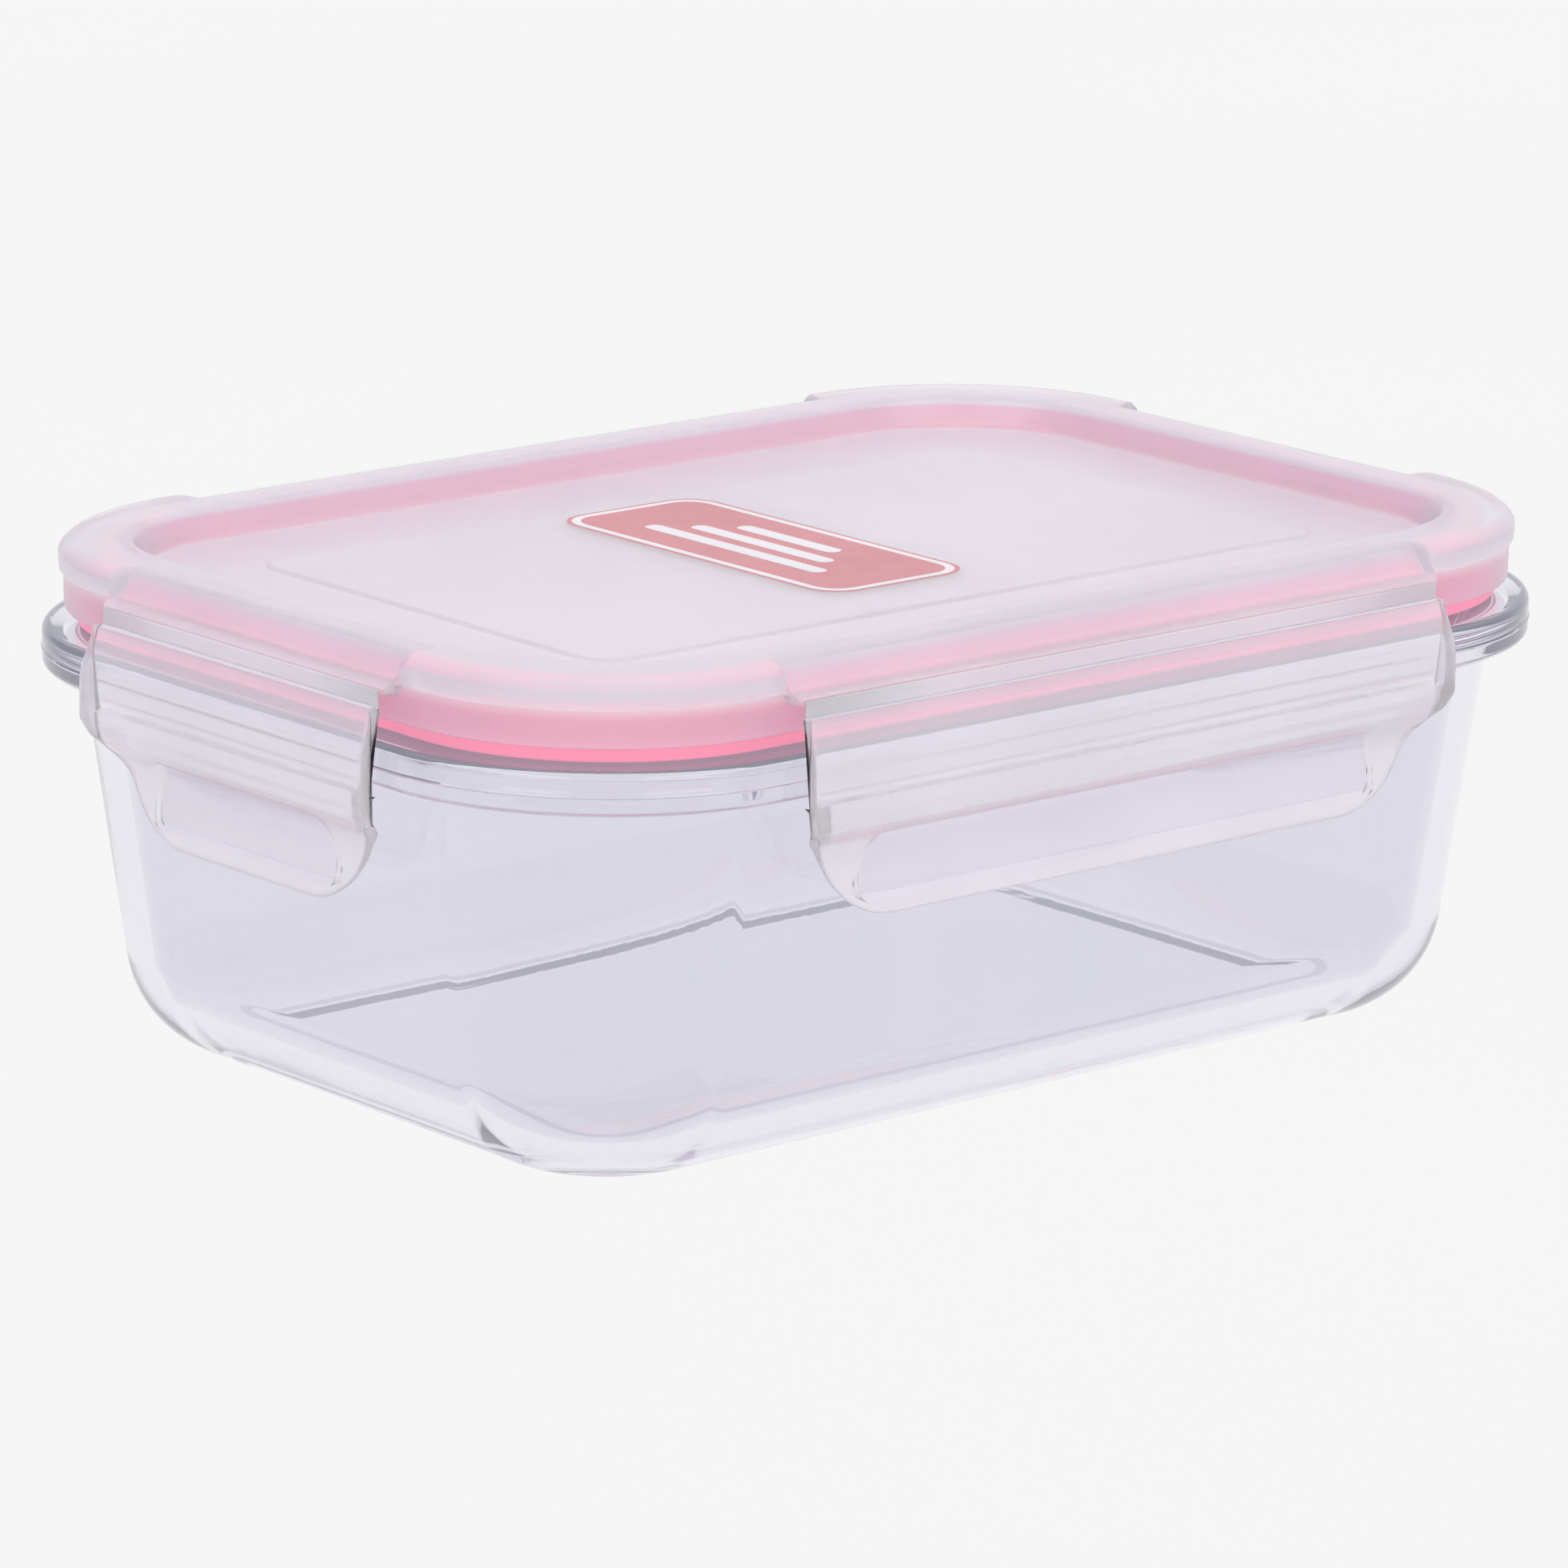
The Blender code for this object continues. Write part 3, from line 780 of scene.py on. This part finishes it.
def make_film(bowl, flaps, side, turn, is_long, plastic):
    """The thin living hinge between the lid's ledge and a flap, thinnest along its fold line."""
    half = (flaps.long_half if is_long else flaps.short_half) / MM - 1.0
    thin = flaps.film / MM / 2
    section = []
    for row in range(FILM_ROWS + 1):
        height = FILM_LOW + (FILM_HIGH - FILM_LOW) * row / FILM_ROWS
        wide = thin + 0.14 * min(abs(height - FOLD) / 0.9, 1.0) ** 2
        section.append((0.35 - wide, height))
    section += [(0.7 - inset, height) for inset, height in reversed(section)]
    bm = bmesh.new()
    chain = None
    for stop in (-half, -half * 0.5, 0.0, half * 0.5, half):
        places = [Vector((stop, -inset, height)) * MM for inset, height in section]
        if chain is None:
            chain = begin_chain(bm, places, True)
        else:
            chain = carry_on(bm, chain, True, places)
    edge = side_edge(bowl, is_long)
    on_side(bm, turn, edge)
    piece = completed(bm, f"{side}_hinge_film", [plastic], weighted=False)
    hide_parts(f"hinge_film_{side}")
    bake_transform(piece)


# ---------------------------------------------------------------- the printed label

def plate(bm, length, width, radius, height, thickness, centre):
    """A thin rounded rectangle, length along Y."""
    made = bmesh.ops.create_grid(bm, x_segments=1, y_segments=1, size=0.5)["verts"]
    bmesh.ops.scale(bm, vec=(width, length, 1.0), verts=made)
    bmesh.ops.bevel(bm, geom=made, offset=radius, segments=8, profile=0.5, affect="VERTICES",
                    material=-1)
    faces = [face for face in bm.faces if all(abs(v.co.z) < 1e-9 for v in face.verts)]
    lifted = bmesh.ops.extrude_face_region(bm, geom=faces)["geom"]
    lifted = [item for item in lifted if isinstance(item, bmesh.types.BMVert)]
    bmesh.ops.translate(bm, vec=(0, 0, thickness), verts=lifted)
    whole = [vert for vert in bm.verts if vert.co.z < thickness * 1.5]
    bmesh.ops.translate(bm, vec=(centre[0], centre[1], height), verts=whole)


def make_label(lid):
    """A plain rose label with a pale frame and three plain bars, printed on the lid's panel."""
    centre = (-3 * MM, 3.5 * MM)
    top = PANEL_OVER * MM
    long, wide = lid.label_length, lid.label_width
    bar = 2.6 * MM
    rose = label_ink("label_rose_ink", lid.label_colour)
    pale = label_ink("label_white_ink", (0.80, 0.76, 0.78))
    # Name, length, width, corner radius, lift over the panel, ink, and shift along X.
    layers = (
        ("label_frame", long, wide, 5.0, 0.01, rose, 0.0),
        ("label_margin", long - 1.2 * MM, wide - 1.2 * MM, 4.6, 0.03, pale, 0.0),
        ("label_field", long - 3.6 * MM, wide - 3.6 * MM, 3.6, 0.05, rose, 0.0),
        ("label_bar_long", long - 22 * MM, bar, 1.2, 0.07, pale, -4.5),
        ("label_bar_middle", long - 30 * MM, bar, 1.2, 0.07, pale, 0.2),
        ("label_bar_short", long - 38 * MM, bar, 1.2, 0.07, pale, 4.9),
    )
    for name, length, width, radius, lift, ink, shift in layers:
        bm = bmesh.new()
        place = (centre[0] + shift * MM, centre[1])
        plate(bm, length, width, radius * MM, top + (lift - 0.02) * MM, 0.03 * MM, place)
        piece = completed(bm, name, [ink])
        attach(piece, "lid")


# ---------------------------------------------------------------- the studio

def aim(thing, place, target, roll=0.0):
    forward = (Vector(target) - Vector(place)).normalized()
    turn = forward.to_track_quat("-Z", "Y").to_matrix().to_4x4()
    thing.matrix_world = (Matrix.Translation(place) @ turn
                          @ Matrix.Rotation(roll, 4, "Z"))


def make_floor(studio):
    bm = bmesh.new()
    bmesh.ops.create_grid(bm, x_segments=4, y_segments=4, size=14.0)
    floor = completed(bm, "studio_floor", [studio_floor(studio)], weighted=False)


def around(azimuth, elevation, distance):
    """A place seen from the origin: azimuth turns from the -Y side towards +X."""
    level = distance * math.cos(elevation)
    return Vector((level * math.sin(azimuth), -level * math.cos(azimuth),
                   distance * math.sin(elevation)))


SOFTBOX_ELEVATION = math.radians(42.0)
SOFTBOX_DISTANCE = 3.2
SOFTBOX_SIZE = (1.7, 1.1)


def make_softbox(name, azimuth, power):
    lamp = bpy.data.lights.new(name, "AREA")
    lamp.shape = "RECTANGLE"
    lamp.size, lamp.size_y = SOFTBOX_SIZE
    lamp.energy = power
    lamp.color = (1.0, 0.99, 0.98)
    box = bpy.data.objects.new(name, lamp)
    bpy.context.scene.collection.objects.link(box)
    aim(box, around(azimuth, SOFTBOX_ELEVATION, SOFTBOX_DISTANCE), (0, 0, 0.05))


SIDEWAYS = (0.76, -0.65, 0.0)      # from the left of the studio to the right
DARK_FLAT, WHITE_FLAT = (0.38, 0.44, 0.56), (1.0, 1.0, 1.0)


def make_dome(studio):
    """A pale dome with a dark flat on either side, so that the glass edges read blue grey."""
    world = bpy.data.worlds.get("studio_dome") or bpy.data.worlds.new("studio_dome")
    bpy.context.scene.world = world
    world.use_nodes = True
    tree = world.node_tree
    tree.nodes.clear()
    where = tree.nodes.new("ShaderNodeTexCoord").outputs["Generated"]
    height = add_node(tree, "ShaderNodeSeparateXYZ", Vector=where).outputs["Z"]
    sky = ramp(tree, height, ((0.0, (0.90, 0.90, 0.92)), (1.0, (0.98, 0.98, 0.98)),
                              (0.30, (0.72, 0.73, 0.77)), (0.60, (0.90, 0.90, 0.92))))
    across = add_node(tree, "ShaderNodeVectorMath", {1: SIDEWAYS})
    across.operation = "DOT_PRODUCT"
    tree.links.new(where, across.inputs[0])
    apart = add_node(tree, "ShaderNodeMapRange", {"From Min": -1.0, "From Max": 1.0},
                     Value=across.outputs["Value"])
    sides = ramp(tree, apart.outputs["Result"], ((0.12, DARK_FLAT), (0.26, WHITE_FLAT),
                                                 (0.84, WHITE_FLAT), (0.93, DARK_FLAT)))
    light = add_node(tree, "ShaderNodeBackground", {"Strength": studio.sky},
                     Color=multiplied(tree, sky, sides))
    output = tree.nodes.new("ShaderNodeOutputWorld")
    tree.links.new(light.outputs["Background"], output.inputs["Surface"])


def make_camera(studio):
    lens = bpy.data.cameras.new("studio_camera")
    lens.sensor_width = 36.0
    lens.lens = studio.lens
    lens.shift_x, lens.shift_y = -0.0055, -0.0083
    lens.clip_start, lens.clip_end = 0.05, 60.0
    camera = bpy.data.objects.new("studio_camera", lens)
    bpy.context.scene.collection.objects.link(camera)
    target = Vector((0, 0, studio.target_height))
    place = target + around(studio.azimuth, studio.elevation, studio.distance)
    aim(camera, place, target, studio.roll)
    bpy.context.scene.camera = camera


# ---------------------------------------------------------------- operators and panel

class CONTAINER_OT_bowl(bpy.types.Operator):
    """Build the pressed glass bowl"""
    bl_idname = "container.bowl"
    bl_label = "Glass bowl"

    def execute(self, context):
        make_bowl(context.scene.container_bowl)
        return {"FINISHED"}


class CONTAINER_OT_lid(bpy.types.Operator):
    """Build the lid's moulding and its printed label"""
    bl_idname = "container.lid"
    bl_label = "Lid and label"

    def execute(self, context):
        scene = context.scene
        make_lid(scene.container_bowl, scene.container_lid, scene.container_flaps)
        make_label(scene.container_lid)
        return {"FINISHED"}


class CONTAINER_OT_gasket(bpy.types.Operator):
    """Build the silicone gasket in the lid's channel"""
    bl_idname = "container.gasket"
    bl_label = "Gasket"

    def execute(self, context):
        make_gasket(context.scene.container_bowl, context.scene.container_gasket)
        return {"FINISHED"}


class CONTAINER_OT_flaps(bpy.types.Operator):
    """Build the four clip flaps and their hinge films"""
    bl_idname = "container.flaps"
    bl_label = "Clip flaps"

    def execute(self, context):
        scene = context.scene
        bowl, lid, flaps = scene.container_bowl, scene.container_lid, scene.container_flaps
        plastic = polypropylene("flap_polypropylene", flaps.colour, lid.clarity + 0.08,
                                0.19, 0.14, 1.27)
        clear = polypropylene("window_polypropylene", flaps.colour, 0.95, 0.10, 0.08, 1.30)
        film = polypropylene("film_polypropylene", lid.colour, lid.clarity - 0.2, lid.haze,
                             0.1, 1.30)
        for side, turn, is_long in SIDES:
            make_flap(bowl, flaps, side, turn, is_long, plastic, clear)
            make_film(bowl, flaps, side, turn, is_long, film)
        return {"FINISHED"}


class CONTAINER_OT_studio(bpy.types.Operator):
    """Set up the floor, the dome, the two softboxes and the camera"""
    bl_idname = "container.studio"
    bl_label = "Studio"

    def execute(self, context):
        studio = context.scene.container_studio
        make_floor(studio)
        make_dome(studio)
        for name, offset in (("softbox_left", -40.0), ("softbox_right", 40.0)):
            make_softbox(name, studio.azimuth + math.radians(offset), studio.box_strength)
        make_camera(studio)
        context.scene.view_settings.view_transform = "Standard"
        return {"FINISHED"}


class CONTAINER_PT_panel(bpy.types.Panel):
    """Lists the container's pieces"""
    bl_idname = "CONTAINER_PT_panel"
    bl_label = "Food container"
    bl_space_type = "VIEW_3D"
    bl_region_type = "UI"
    bl_category = "Container"

    def draw(self, context):
        for operator in OPERATORS:
            self.layout.operator(operator.bl_idname)
        for name in GROUPS:
            box = self.layout.box()
            group = getattr(context.scene, name)
            for key in group.bl_rna.properties.keys():
                if key not in {"rna_type", "name"}:
                    box.prop(group, key)


GROUPS = {
    "container_bowl": ContainerBowl,
    "container_lid": ContainerLid,
    "container_flaps": ContainerFlaps,
    "container_gasket": ContainerGasket,
    "container_studio": ContainerStudio,
}
OPERATORS = (CONTAINER_OT_bowl, CONTAINER_OT_lid, CONTAINER_OT_gasket, CONTAINER_OT_flaps,
             CONTAINER_OT_studio)
CLASSES = (*GROUPS.values(), *OPERATORS, CONTAINER_PT_panel)


def register():
    for item in CLASSES:
        bpy.utils.register_class(item)
    for name, group in GROUPS.items():
        setattr(bpy.types.Scene, name, PointerProperty(type=group))


def unregister():
    for name in GROUPS:
        delattr(bpy.types.Scene, name)
    for item in reversed(CLASSES):
        bpy.utils.unregister_class(item)


def main():
    register()
    bpy.ops.container.bowl()
    bpy.ops.container.gasket()
    bpy.ops.container.lid()
    bpy.ops.container.flaps()
    bpy.ops.container.studio()


if __name__ == "__main__":
    main()
